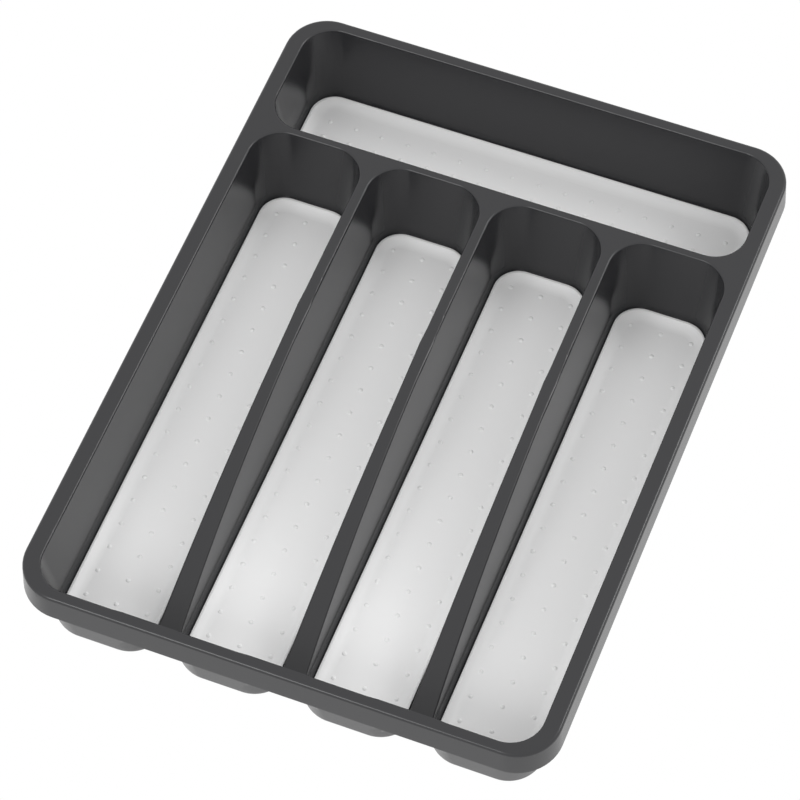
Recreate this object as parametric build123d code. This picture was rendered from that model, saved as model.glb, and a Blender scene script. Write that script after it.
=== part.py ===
from build123d import *
import os

# Cutlery tray with five compartments, in millimetres.
# X runs from side to side, Y from the front (-Y) to the back (+Y), Z up.
# The origin lies on the surface the tray stands on, under the middle of the tray.

# Whole tray
tray_width = 239.0
tray_length = 327.0
tray_height = 48.0
wall = 2.2
cut_overrun = 2.0

# Rim and its down-turned skirt
rim_corner_radius = 19.5
rim_side_land = 7.7
rim_end_land = 5.2
rim_edge_round = 1.6
skirt_height = 14.0
skirt_flare = 0.7
skirt_wall = 2.0

# Compartments, measured in the plane of the rim
divider_land = 5.2
cross_divider_land = 3.4
long_opening = 59.0
small_count = 4
opening_radius = 15.0
lip_round = 1.1
lip_tolerance = 0.3

# How far the walls lean inward from the rim to the floor
side_lean = 3.4
small_end_lean = 6.0
long_end_lean = 6.3
floor_radius = 13.5
floor_fillet = 8.0
base_edge_round = 5.0

# Long dividers dip in one wide arc from the rim down towards the front wall
dip_start = 65.4
dip_middle = 152.4
dip_middle_depth = 8.6
dip_end_depth = 37.8
dip_front_fillet = 9.0
dip_front_skin = 0.2

# Base pad under each compartment, and the feet pressed into the outer pads
pad_height = 1.2
pad_step = 1.5
pad_edge_round = 0.6
foot_diameter = 12.0
foot_proud = 1.0
foot_clearance = 0.15
foot_edge_round = 0.4
foot_end_offset = 24.0

# Soft liners
liner_thickness = 1.2
liner_curl = 2.5
liner_gap = 0.3
liner_edge_round = 0.35
bump_diameter = 2.2
bump_height = 0.5
bump_sink = 0.3
bump_margin = 9.9
bump_row_pitch = 12.62
bump_columns = 3
bump_column_pitch = 14.3
long_bump_rows = 3
long_bump_pitch = 12.9
long_bump_row_pitch = 8.8

# Heights that follow from the sizes above
rim_top = tray_height
rim_under = tray_height - wall
skirt_bottom = tray_height - skirt_height
pad_bottom = foot_proud
tub_bottom = pad_bottom + pad_height
floor_top = tub_bottom + wall
liner_top = floor_top + liner_thickness
liner_edge_top = liner_top + liner_curl

# Places that follow from the sizes above
back_edge = tray_length / 2
front_edge = -tray_length / 2
inner_width = tray_width - 2 * rim_side_land
small_width = (inner_width - (small_count - 1) * divider_land) / small_count
small_pitch = small_width + divider_land
long_back = back_edge - rim_end_land
long_front = long_back - long_opening
small_back = long_front - cross_divider_land
small_front = front_edge + rim_end_land
small_length = small_back - small_front
small_middle = (small_back + small_front) / 2
long_middle = (long_back + long_front) / 2
small_centres = [(index - (small_count - 1) / 2) * small_pitch for index in range(small_count)]
divider_centres = [(left + right) / 2 for left, right in zip(small_centres, small_centres[1:])]

small_floor_length = small_length - 2 * small_end_lean
long_floor_width = inner_width - 2 * side_lean
bump_rows = int((small_floor_length - 2 * bump_margin) / bump_row_pitch) + 1
long_bump_columns = int((long_floor_width - 2 * bump_margin) / long_bump_pitch) + 1

SMALL = (small_width, small_length, small_middle, small_end_lean)
LONG = (inner_width, long_opening, long_middle, long_end_lean)


def section(compartment, centre_x, height, grow):
    """Rounded outline of a compartment at a height, grown outward by grow."""
    width, length, middle, end_lean = compartment
    depth_share = (rim_top - height) / (rim_top - floor_top)
    size_x = width - 2 * side_lean * depth_share + 2 * grow
    size_y = length - 2 * end_lean * depth_share + 2 * grow
    radius = opening_radius + (floor_radius - opening_radius) * depth_share + grow
    return Pos(centre_x, middle, height) * RectangleRounded(size_x, size_y, radius)


def tub(compartment, centre_x, bottom, top, grow, fillet_radius):
    """Closed block with a compartment's leaning sides and filleted floor edge."""
    lower = section(compartment, centre_x, bottom, grow)
    upper = section(compartment, centre_x, top, grow)
    block = loft([lower, upper], ruled=True)
    floor_edges = block.edges().group_by(Axis.Z)[0]
    return fillet(floor_edges, fillet_radius)


def rounded_block(width, length, radius, z):
    """Rounded rectangle of the rim at a height."""
    return Pos(0, 0, z) * RectangleRounded(width, length, radius)


def rim_and_skirt():
    """Rim plate with the skirt that hangs from its outer edge, open below."""
    lower_width = tray_width + 2 * skirt_flare
    lower_length = tray_length + 2 * skirt_flare
    outer = loft(
        [
            rounded_block(lower_width, lower_length, rim_corner_radius + skirt_flare, skirt_bottom),
            rounded_block(tray_width, tray_length, rim_corner_radius, rim_top),
        ],
        ruled=True,
    )
    outer = fillet(outer.edges().group_by(Axis.Z)[-1], rim_edge_round)
    flare_rate = skirt_flare / skirt_height
    hollow_low = skirt_bottom - cut_overrun
    low_grow = skirt_flare + cut_overrun * flare_rate - skirt_wall
    high_grow = wall * flare_rate - skirt_wall
    hollow = loft(
        [
            rounded_block(
                tray_width + 2 * low_grow, tray_length + 2 * low_grow, rim_corner_radius + low_grow, hollow_low
            ),
            rounded_block(
                tray_width + 2 * high_grow, tray_length + 2 * high_grow, rim_corner_radius + high_grow, rim_under
            ),
        ],
        ruled=True,
    )
    return outer - hollow


def dip_profile(skin):
    """Outline, seen from the side, of what is open above a long divider; skin grows it outward."""
    lean = small_end_lean / (rim_top - floor_top)
    start = Vector(0, small_back - dip_start, rim_top)
    middle = Vector(0, small_back - dip_middle, rim_top - dip_middle_depth)
    front = small_front + dip_front_skin
    end = Vector(0, front + lean * dip_end_depth, rim_top - dip_end_depth)
    front_top = Vector(0, front - lean * cut_overrun, rim_top + cut_overrun)
    back_top = Vector(0, start.Y, front_top.Z)
    lines = [
        ThreePointArc(start, middle, end),
        Line(end, front_top),
        Line(front_top, back_top),
        Line(back_top, start),
    ]
    face = make_face(lines)
    corner = face.vertices().sort_by_distance(end)[0]
    face = fillet(corner, dip_front_fillet)
    if skin > 0:
        face = offset(face, skin, kind=Kind.ARC)
    return face


def long_divider(centre_x):
    """Skin that closes a long divider from above and joins it to the front wall."""
    half_width = divider_land / 2 + opening_radius + wall
    skin = Pos(centre_x, 0, 0) * extrude(dip_profile(wall), half_width, both=True)
    limit_length = small_length + 2 * wall
    limit = Pos(centre_x, small_middle, tub_bottom) * Box(
        2 * half_width, limit_length, rim_under - tub_bottom, align=(Align.CENTER, Align.CENTER, Align.MIN)
    )
    return skin & limit


def compartments():
    """The five open compartments."""
    top = rim_top + cut_overrun
    space = tub(LONG, 0, floor_top, top, 0, floor_fillet)
    for centre_x in small_centres:
        space += tub(SMALL, centre_x, floor_top, top, 0, floor_fillet)
    return space


def dips():
    """The space above the long dividers, from one small compartment to the next."""
    return [Pos(centre_x, 0, 0) * extrude(dip_profile(0), small_pitch / 2, both=True) for centre_x in divider_centres]


def lip_edges(body):
    """Edges where the rim turns down into the compartments."""
    reach_x = inner_width / 2 + lip_tolerance
    reach_y = long_back + lip_tolerance

    def on_lip(edge):
        box = edge.bounding_box()
        at_rim = box.min.Z > rim_top - lip_tolerance and box.max.Z < rim_top + lip_tolerance
        return at_rim and max(box.max.X, -box.min.X) < reach_x and max(box.max.Y, -box.min.Y) < reach_y

    return body.edges().filter_by(on_lip)


def base_pad(compartment, centre_x):
    """Low flat pad that carries a compartment just above the table."""
    outline = section(compartment, centre_x, tub_bottom, -floor_fillet - pad_step)
    outline = Pos(0, 0, pad_bottom - tub_bottom) * outline
    pad = extrude(outline, pad_height + wall / 2, dir=(0, 0, 1))
    return fillet(pad.edges().group_by(Axis.Z)[0], pad_edge_round)


def foot_places():
    """Middles of the four feet: two under the long compartment, two under the outer small ones."""
    outer_x = small_centres[-1]
    back_y = long_middle
    front_y = small_front + foot_end_offset
    return {
        "foot_front_left": (-outer_x, front_y),
        "foot_front_right": (outer_x, front_y),
        "foot_back_left": (-outer_x, back_y),
        "foot_back_right": (outer_x, back_y),
    }


def body_shell():
    """One-piece moulded tray: rim, skirt, five tubs, hollow dividers and base pads."""
    body = rim_and_skirt()
    tub_top = rim_under + wall / 2
    for centre_x in small_centres:
        body += tub(SMALL, centre_x, tub_bottom, tub_top, wall, base_edge_round)
        body += base_pad(SMALL, centre_x)
    body += tub(LONG, 0, tub_bottom, tub_top, wall, base_edge_round)
    body += base_pad(LONG, 0)
    for centre_x in divider_centres:
        body += long_divider(centre_x)
    body -= compartments()
    body = fillet(lip_edges(body), lip_round)
    for dip in dips():
        body -= dip
    for x, y in foot_places().values():
        radius = foot_diameter / 2 + foot_clearance
        body -= Pos(x, y, pad_bottom + pad_height / 2) * Cylinder(radius, pad_height)
    return body


def liner(compartment, centre_x):
    """Thin soft sheet that lies on a compartment's floor and curls up its fillet all round."""
    outer = tub(compartment, centre_x, floor_top, rim_under, -liner_gap, floor_fillet)
    inner_shrink = -liner_gap - liner_thickness
    inner = tub(compartment, centre_x, liner_top, rim_top, inner_shrink, floor_fillet - liner_thickness)
    width, length, middle, _ = compartment
    slice_height = liner_edge_top - floor_top
    layer = Pos(centre_x, middle, floor_top) * Box(
        width, length, slice_height, align=(Align.CENTER, Align.CENTER, Align.MIN)
    )
    sheet = (outer & layer) - inner
    return fillet(sheet.edges().group_by(Axis.Z)[-1], liner_edge_round)


def bump():
    """Low round dome, sunk a little into the sheet, standing at the origin's height."""
    half = bump_diameter / 2
    ball_radius = (half**2 + bump_height**2) / (2 * bump_height)
    ball = Pos(0, 0, bump_height - ball_radius) * Sphere(ball_radius)
    keep = Pos(0, 0, -bump_sink) * Cylinder(
        bump_diameter, bump_height + bump_sink, align=(Align.CENTER, Align.CENTER, Align.MIN)
    )
    return ball & keep


def with_bumps(sheet, places):
    """Liner sheet with a dome at every place."""
    dome = bump()
    return sheet.fuse(*[Pos(x, y, liner_top) * dome for x, y in places])


def small_bump_places(centre_x):
    """Rows of bumps from the back of a small compartment to its front."""
    columns = [(index - (bump_columns - 1) / 2) * bump_column_pitch for index in range(bump_columns)]
    first_row = small_back - small_end_lean - bump_margin
    rows = [first_row - index * bump_row_pitch for index in range(bump_rows)]
    return [(centre_x + x, y) for x in columns for y in rows]


def long_bump_places():
    """Rows of bumps along the long compartment."""
    columns = [(index - (long_bump_columns - 1) / 2) * long_bump_pitch for index in range(long_bump_columns)]
    rows = [long_middle + (index - (long_bump_rows - 1) / 2) * long_bump_row_pitch for index in range(long_bump_rows)]
    return [(x, y) for x in columns for y in rows]


def foot(x, y):
    """Rubber disc pressed into its recess, standing proud of the base pad."""
    disc = Pos(x, y, 0) * Cylinder(
        foot_diameter / 2, foot_proud + pad_height, align=(Align.CENTER, Align.CENTER, Align.MIN)
    )
    return fillet(disc.edges().group_by(Axis.Z)[0], foot_edge_round)


def main():
    os.makedirs("parts", exist_ok=True)
    pieces = {"tray_body": body_shell()}
    for index, centre_x in enumerate(small_centres):
        sheet = liner(SMALL, centre_x)
        pieces[f"liner_small_{index + 1}"] = with_bumps(sheet, small_bump_places(centre_x))
    pieces["liner_long"] = with_bumps(liner(LONG, 0), long_bump_places())
    for name, (x, y) in foot_places().items():
        pieces[name] = foot(x, y)
    for name, piece in pieces.items():
        export_step(piece, f"parts/{name}.step")


main()
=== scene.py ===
import math
import bmesh
import bpy
from mathutils import Matrix, Vector


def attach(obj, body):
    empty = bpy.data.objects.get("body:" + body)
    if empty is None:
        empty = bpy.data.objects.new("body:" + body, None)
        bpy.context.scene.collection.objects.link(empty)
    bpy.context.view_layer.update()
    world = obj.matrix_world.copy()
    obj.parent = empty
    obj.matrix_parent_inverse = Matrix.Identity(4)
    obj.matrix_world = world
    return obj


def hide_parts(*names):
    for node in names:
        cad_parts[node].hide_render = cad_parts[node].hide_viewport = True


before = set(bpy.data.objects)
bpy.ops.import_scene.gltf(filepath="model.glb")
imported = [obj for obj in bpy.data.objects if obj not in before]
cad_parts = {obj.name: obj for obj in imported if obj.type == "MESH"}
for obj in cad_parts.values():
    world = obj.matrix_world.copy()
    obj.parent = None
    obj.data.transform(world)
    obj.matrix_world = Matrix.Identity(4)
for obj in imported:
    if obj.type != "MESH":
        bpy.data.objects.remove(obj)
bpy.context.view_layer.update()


# Tray body
# One injection moulding in charcoal polypropylene: rim, skirt, five tubs and hollow dividers together.
# The finely eroded mould leaves a satin face that hides small marks and catches a soft light on each edge.
tray_charcoal = "#28282A"
tray_roughness = 0.27
polypropylene_ior = 1.49
tray_grain_strength = 0.12


def linear(hex_colour):
    """A colour written as sRGB hex, turned into the linear values that shaders take."""
    channels = [int(hex_colour[i:i + 2], 16) / 255 for i in (1, 3, 5)]
    return [c / 12.92 if c <= 0.04045 else ((c + 0.055) / 1.055) ** 2.4 for c in channels] + [1.0]


def new_material(name):
    """A material with an empty node tree."""
    material = bpy.data.materials.new(name)
    material.use_nodes = True
    material.node_tree.nodes.clear()
    return material


def add_node(owner, kind, settings=None, links=None):
    """Adds a shader node. Settings are its fields or input values, links its inputs and what feeds them."""
    tree = owner.node_tree
    node = tree.nodes.new(kind)
    for name, value in (settings or {}).items():
        if hasattr(node, name):
            setattr(node, name, value)
        else:
            node.inputs[name].default_value = value
    for name, source in (links or {}).items():
        tree.links.new(source, node.inputs[name])
    return node


def mould_grain(material, strength):
    """The normal of a spark-eroded mould's grain, which every moulded face of the tray carries."""
    # The real grain is about 0.05 mm wide. It is drawn ten times as coarse, so that the render shows it.
    grain_millimetres = 0.5
    grain_depth = 0.00005
    grain_octaves = 2.0
    grain_octave_share = 0.6
    place = add_node(material, "ShaderNodeTexCoord")
    grain = add_node(
        material,
        "ShaderNodeTexNoise",
        {"Scale": 1000 / grain_millimetres, "Detail": grain_octaves, "Roughness": grain_octave_share},
        {"Vector": place.outputs["Object"]},
    )
    relief = add_node(
        material,
        "ShaderNodeBump",
        {"Strength": strength, "Distance": grain_depth},
        {"Height": grain.outputs["Fac"]},
    )
    return relief.outputs["Normal"]


moulded_polypropylene = new_material("moulded_charcoal_polypropylene")
plastic = add_node(
    moulded_polypropylene,
    "ShaderNodeBsdfPrincipled",
    {"Base Color": linear(tray_charcoal), "Roughness": tray_roughness, "IOR": polypropylene_ior},
    {"Normal": mould_grain(moulded_polypropylene, tray_grain_strength)},
)
add_node(moulded_polypropylene, "ShaderNodeOutputMaterial", links={"Surface": plastic.outputs["BSDF"]})

# The top edges of the dividers, where they dip towards the front, are round on the real moulding and
# sharp in the CAD. So a copy of the body's mesh stands for it, and a bevel rounds those edges there.
joined_within = 2e-6
flat_within = math.radians(0.2)

shell = bmesh.new()
shell.from_mesh(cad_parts["tray_body"].data)
bmesh.ops.remove_doubles(shell, verts=shell.verts, dist=joined_within)
bmesh.ops.dissolve_limit(shell, angle_limit=flat_within, verts=shell.verts, edges=shell.edges)

# The CAD leaves a thin step over the inner face of the front wall, in front of each dip. It is pushed
# back onto the wall, which leans outwards towards the rim.
front_wall_at_rim = -0.1583
front_wall_lean = 0.006
rim_height = 0.048
floor_height = 0.0044
step_over_wall = 0.0002
step_tolerance = 5e-5
step_half_width = 0.090
step_lowest = 0.012
step_joined_within = 2e-5
sliver_within = 1e-5

for vertex in shell.verts:
    under_rim_share = (rim_height - vertex.co.z) / (rim_height - floor_height)
    wall_here = front_wall_at_rim + front_wall_lean * under_rim_share
    over_wall = vertex.co.y - wall_here
    near_dips = abs(vertex.co.x) < step_half_width and vertex.co.z > step_lowest
    if near_dips and abs(over_wall - step_over_wall) < step_tolerance:
        vertex.co.y = wall_here
bmesh.ops.remove_doubles(shell, verts=shell.verts, dist=step_joined_within)
bmesh.ops.dissolve_degenerate(shell, dist=sliver_within, edges=shell.edges)
bmesh.ops.dissolve_limit(shell, angle_limit=flat_within, verts=shell.verts, edges=shell.edges)
shell.normal_update()

# Only edges of the dips are marked for the bevel: convex, sharp, beside a face that looks up, and inside
# the box that holds the dips. A round of one radius takes less width where two faces meet more flatly.
crest_round_millimetres = 1.1
crest_round_segments = 4
crest_zone_low = (-0.080, -0.1565, 0.0097)
crest_zone_high = (0.080, 0.0315, 0.049)
sharp_from = math.radians(29)
upward_normal = 0.5
crease_from = math.radians(35)


def is_crest(edge):
    """Whether an edge of the shell is one of the dips' sharp top edges."""
    middle = (edge.verts[0].co + edge.verts[1].co) / 2
    in_zone = all(low < value < high for low, value, high in zip(crest_zone_low, middle, crest_zone_high))
    upward = max(face.normal.z for face in edge.link_faces) > upward_normal
    return in_zone and upward and edge.is_convex and edge.calc_face_angle() > sharp_from


crest_weight = shell.edges.layers.float.new("bevel_weight_edge")
for edge in shell.edges:
    if is_crest(edge):
        edge[crest_weight] = min(1.0, math.tan(edge.calc_face_angle() / 2))
shell_mesh = bpy.data.meshes.new("tray_shell")
shell.to_mesh(shell_mesh)
shell.free()
shell_mesh.polygons.foreach_set("use_smooth", [True] * len(shell_mesh.polygons))
shell_mesh.set_sharp_from_angle(angle=crease_from)
shell_mesh.materials.append(moulded_polypropylene)

tray_shell = bpy.data.objects.new("tray_shell", shell_mesh)
bpy.context.scene.collection.objects.link(tray_shell)
rounding = tray_shell.modifiers.new("crest_rounding", "BEVEL")
rounding.width = crest_round_millimetres / 1000
rounding.segments = crest_round_segments
rounding.limit_method = "WEIGHT"
rounding.use_clamp_overlap = False
even_shading = tray_shell.modifiers.new("even_shading", "WEIGHTED_NORMAL")
even_shading.keep_sharp = True
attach(tray_shell, "root")
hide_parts("tray_body")


# Floor liners
# Soft sheets of pale grey thermoplastic rubber, moulded onto each floor with rows of small raised dots.
# Matt, with a faint sheen where a sheet curls up against the walls.
liner_grey = "#F2F2F2"
liner_roughness = 0.45
rubber_ior = 1.5
liner_grain_strength = 0.08


def dress(prefix, material):
    """Gives a material and its slot to each CAD node whose name starts with the prefix."""
    for name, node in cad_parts.items():
        if name.startswith(prefix):
            node.data.materials.clear()
            node.data.materials.append(material)


soft_rubber = new_material("soft_pale_rubber")
rubber = add_node(
    soft_rubber,
    "ShaderNodeBsdfPrincipled",
    {"Base Color": linear(liner_grey), "Roughness": liner_roughness, "IOR": rubber_ior},
    {"Normal": mould_grain(soft_rubber, liner_grain_strength)},
)
add_node(soft_rubber, "ShaderNodeOutputMaterial", links={"Surface": rubber.outputs["BSDF"]})
dress("liner", soft_rubber)


# Feet
# Four small discs of dark rubber, pressed into the base pads so that the tray doesn't slide in its drawer.
# Matt all over, as die-cut rubber sheet is.
foot_black = "#303030"
foot_roughness = 0.7

foot_rubber = new_material("dark_foot_rubber")
rubber = add_node(
    foot_rubber,
    "ShaderNodeBsdfPrincipled",
    {"Base Color": linear(foot_black), "Roughness": foot_roughness, "IOR": rubber_ior},
)
add_node(foot_rubber, "ShaderNodeOutputMaterial", links={"Surface": rubber.outputs["BSDF"]})
dress("foot", foot_rubber)


# Studio
# A white table under the tray and soft white surroundings, as in a shop's product photograph.
# Camera and gloss see both as plain white, while other light takes the table's own grey and shadow.
floor_half = 3.0
table_white = (0.8, 0.8, 0.8, 1.0)
plain_white = (1.0, 1.0, 1.0, 1.0)
table_glow = 1.0
surroundings_fill = 1.06
surroundings_seen = 0.97


def seen_by_eye(owner):
    """1 for rays of the camera and of gloss, 0 for all others."""
    rays = add_node(owner, "ShaderNodeLightPath")
    either = add_node(
        owner,
        "ShaderNodeMath",
        {"operation": "MAXIMUM"},
        {0: rays.outputs["Is Camera Ray"], 1: rays.outputs["Is Glossy Ray"]},
    )
    return either.outputs[0]


floor_mesh = bpy.data.meshes.new("studio_floor")
floor_mesh.from_pydata(
    [
        (-floor_half, -floor_half, 0),
        (floor_half, -floor_half, 0),
        (floor_half, floor_half, 0),
        (-floor_half, floor_half, 0),
    ],
    [],
    [(0, 1, 2, 3)],
)
floor = bpy.data.objects.new("studio_floor", floor_mesh)
bpy.context.scene.collection.objects.link(floor)

white_table = new_material("white_table")
table_face = add_node(white_table, "ShaderNodeBsdfDiffuse", {"Color": table_white})
glow = add_node(white_table, "ShaderNodeEmission", {"Color": plain_white, "Strength": table_glow})
table_or_glow = add_node(
    white_table,
    "ShaderNodeMixShader",
    links={0: seen_by_eye(white_table), 1: table_face.outputs[0], 2: glow.outputs[0]},
)
add_node(white_table, "ShaderNodeOutputMaterial", links={"Surface": table_or_glow.outputs[0]})
floor_mesh.materials.append(white_table)

surroundings = bpy.data.worlds.new("studio")
surroundings.use_nodes = True
surroundings.node_tree.nodes.clear()
level = add_node(
    surroundings,
    "ShaderNodeMapRange",
    {"To Min": surroundings_fill, "To Max": surroundings_seen},
    {"Value": seen_by_eye(surroundings)},
)
sky = add_node(
    surroundings,
    "ShaderNodeBackground",
    {"Color": plain_white},
    {"Strength": level.outputs["Result"]},
)
add_node(surroundings, "ShaderNodeOutputWorld", links={"Surface": sky.outputs[0]})
bpy.context.scene.world = surroundings


def softbox(name, azimuth, elevation, size, watts):
    """A square softbox aimed at the tray; azimuth 0 is in front of it and 90 to its right."""
    distance = 1.6
    around = math.radians(azimuth)
    up = math.radians(elevation)
    position = distance * Vector(
        (math.sin(around) * math.cos(up), -math.cos(around) * math.cos(up), math.sin(up))
    )
    data = bpy.data.lights.new(name, "AREA")
    data.size = size
    data.energy = watts
    lamp = bpy.data.objects.new(name, data)
    bpy.context.scene.collection.objects.link(lamp)
    lamp.location = position
    lamp.rotation_mode = "QUATERNION"
    lamp.rotation_quaternion = (-position).to_track_quat("-Z", "Y")


softbox("front_softbox", azimuth=-18, elevation=40, size=0.45, watts=5)
softbox("back_right_softbox", azimuth=126, elevation=38, size=0.5, watts=5)


# Camera
# It stands in front of the tray, to its right and high above it, as the photograph was taken. The lens is
# long, so the sides of the tray run almost parallel. Angles and distance come from the tray's rim.
view_azimuth = math.radians(22.36)
view_elevation = math.radians(57.09)
view_roll = math.radians(-1.19)
view_distance = 1.6596
view_target = Vector((-0.0058, -0.0052, 0.024))
lens_millimetres = 171.0
sensor_millimetres = 36.0
nearest_seen = 0.05
farthest_seen = 20.0

camera_data = bpy.data.cameras.new("camera")
camera_data.lens = lens_millimetres
camera_data.sensor_width = sensor_millimetres
camera_data.clip_start = nearest_seen
camera_data.clip_end = farthest_seen
camera = bpy.data.objects.new("camera", camera_data)
bpy.context.scene.collection.objects.link(camera)
towards_camera = Vector((
    math.sin(view_azimuth) * math.cos(view_elevation),
    -math.cos(view_azimuth) * math.cos(view_elevation),
    math.sin(view_elevation),
))
camera.matrix_world = (
    Matrix.Translation(view_target + towards_camera * view_distance)
    @ (-towards_camera).to_track_quat("-Z", "Y").to_matrix().to_4x4()
    @ Matrix.Rotation(view_roll, 4, "Z")
)
bpy.context.scene.camera = camera
bpy.context.scene.view_settings.view_transform = "Standard"
